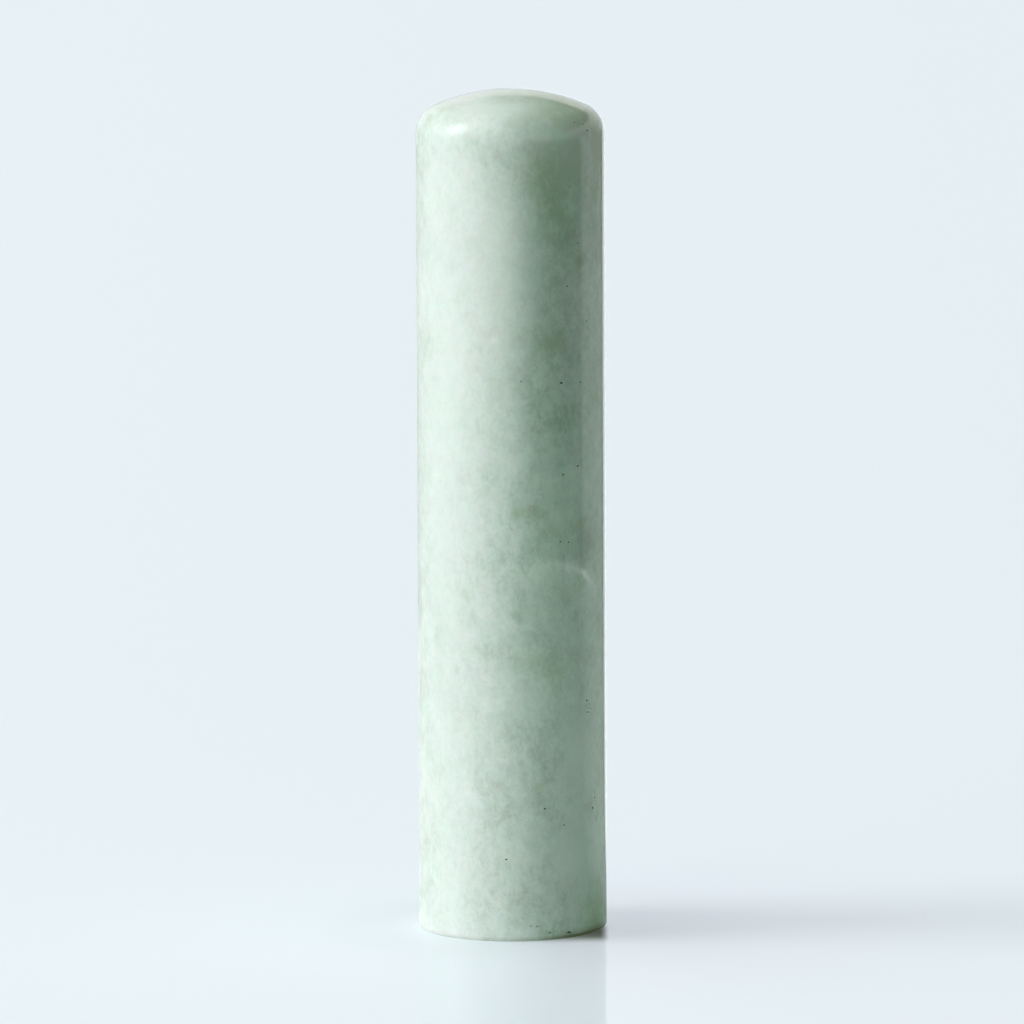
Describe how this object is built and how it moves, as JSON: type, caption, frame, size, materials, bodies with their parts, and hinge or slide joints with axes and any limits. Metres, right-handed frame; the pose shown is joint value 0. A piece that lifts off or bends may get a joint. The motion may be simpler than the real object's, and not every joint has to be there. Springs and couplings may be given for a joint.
{
  "type": "seal stamp",
  "caption": "Round personal seal turned from one length of polished mottled green jade, with a domed head and a flat sealing face cut in relief with interlocking rings inside a raised rim.",
  "frame": {"origin": "centre of the sealing face, which is the end that the stamp stands on and prints with", "axes": "+Z along the stone, from the sealing face to the domed head; the cut pattern is alike along X and along Y"},
  "size_m": [0.0136, 0.0136, 0.0606],
  "materials": {
    "jade": "polished"
  },
  "bodies": {
    "root": {"stamp_body": "jade"}
  },
  "joints": []
}
